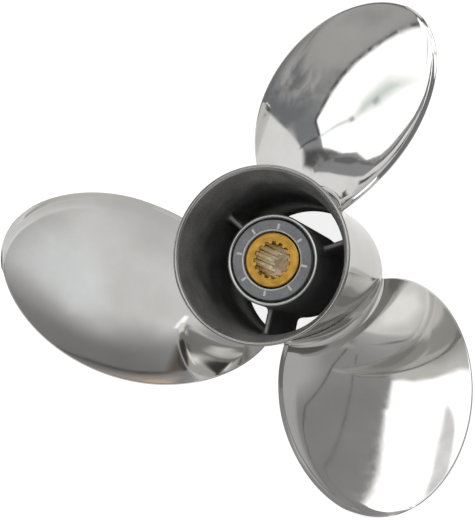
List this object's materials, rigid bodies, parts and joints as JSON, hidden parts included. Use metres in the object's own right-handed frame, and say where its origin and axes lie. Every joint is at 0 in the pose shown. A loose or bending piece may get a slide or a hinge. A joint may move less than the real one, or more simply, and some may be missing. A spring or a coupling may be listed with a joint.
{
  "type": "ship propeller",
  "caption": "Boat propeller with raked skewed blades on a hollow exhaust barrel, carried by ribs on a rubber-bushed brass splined hub.",
  "frame": {"origin": "on the shaft line, in the plane of the barrel's forward end, on which the propeller stands", "axes": "+Z along the shaft line towards the aft rim, +Y through the root of blade_1"},
  "size_m": [0.3027, 0.3013, 0.128],
  "materials": {
    "polished_steel": "mirror polished stainless steel",
    "cast_steel": "satin as cast and blasted stainless steel",
    "rubber": "matt grey rubber",
    "brass": "machined brass"
  },
  "bodies": {
    "root": {"exhaust_barrel": "polished_steel", "diffuser_ring": "cast_steel", "blade_1": "polished_steel", "blade_2": "polished_steel", "blade_3": "polished_steel", "rib_1": "cast_steel", "rib_2": "cast_steel", "rib_3": "cast_steel", "hub_sleeve": "cast_steel", "rubber_bushing": "rubber", "spline_insert": "brass"}
  },
  "joints": []
}
